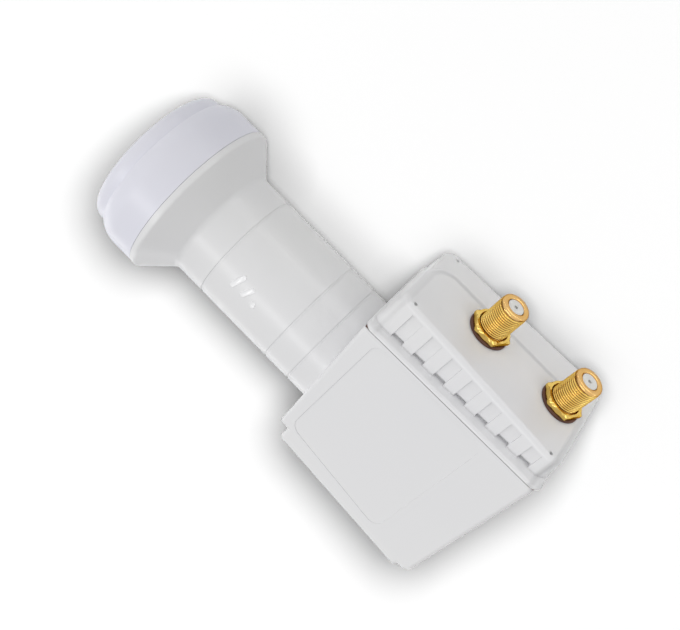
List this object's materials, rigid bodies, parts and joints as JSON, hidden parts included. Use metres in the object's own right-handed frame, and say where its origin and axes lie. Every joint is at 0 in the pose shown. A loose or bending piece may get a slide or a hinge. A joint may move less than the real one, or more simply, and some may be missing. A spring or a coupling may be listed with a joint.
{
  "type": "satellite lnb",
  "caption": "White plastic satellite receiver head with a capped horn, a round clamp neck and a tapered box whose ribbed cover carries gold threaded coaxial outlets.",
  "frame": {"origin": "on the neck's axis, in the middle of the zone that a bracket clamps", "axes": "+X along the neck towards the horn, +Z towards the label face, outlets pointing to -Y"},
  "size_m": [0.1561, 0.0894, 0.0592],
  "materials": {
    "white_plastic": "moulded, weather-proof, slightly satin",
    "cap_plastic": "moulded, cool white, slightly satin",
    "dark_rubber": "soft, dark brown",
    "gold_plate": "plated, bright",
    "contact_metal": "bare",
    "insulator_plastic": "plain",
    "cast_metal": "as cast",
    "screw_steel": "zinc plated",
    "board_laminate": "solder mask",
    "chip_black": "moulded"
  },
  "bodies": {
    "root": {"main_housing": "white_plastic", "connector_cover": "white_plastic", "horn_cap": "cap_plastic", "front_connector_washer": "dark_rubber", "rear_connector_washer": "dark_rubber", "cover_gasket": "dark_rubber", "cap_seal": "dark_rubber", "front_connector_body": "gold_plate", "rear_connector_body": "gold_plate", "front_connector_nut": "gold_plate", "rear_connector_nut": "gold_plate", "front_connector_contact": "contact_metal", "rear_connector_contact": "contact_metal", "upper_probe": "contact_metal", "side_probe": "contact_metal", "isolation_pin": "contact_metal", "front_connector_insulator": "insulator_plastic", "rear_connector_insulator": "insulator_plastic", "upper_probe_bush": "insulator_plastic", "side_probe_bush": "insulator_plastic", "feed_horn": "cast_metal", "chassis": "cast_metal", "shield_lid": "cast_metal", "crystal_can": "cast_metal", "shield_screws": "screw_steel", "circuit_board": "board_laminate", "board_chips": "chip_black", "voltage_regulators": "chip_black", "board_capacitors": "chip_black"}
  },
  "joints": []
}
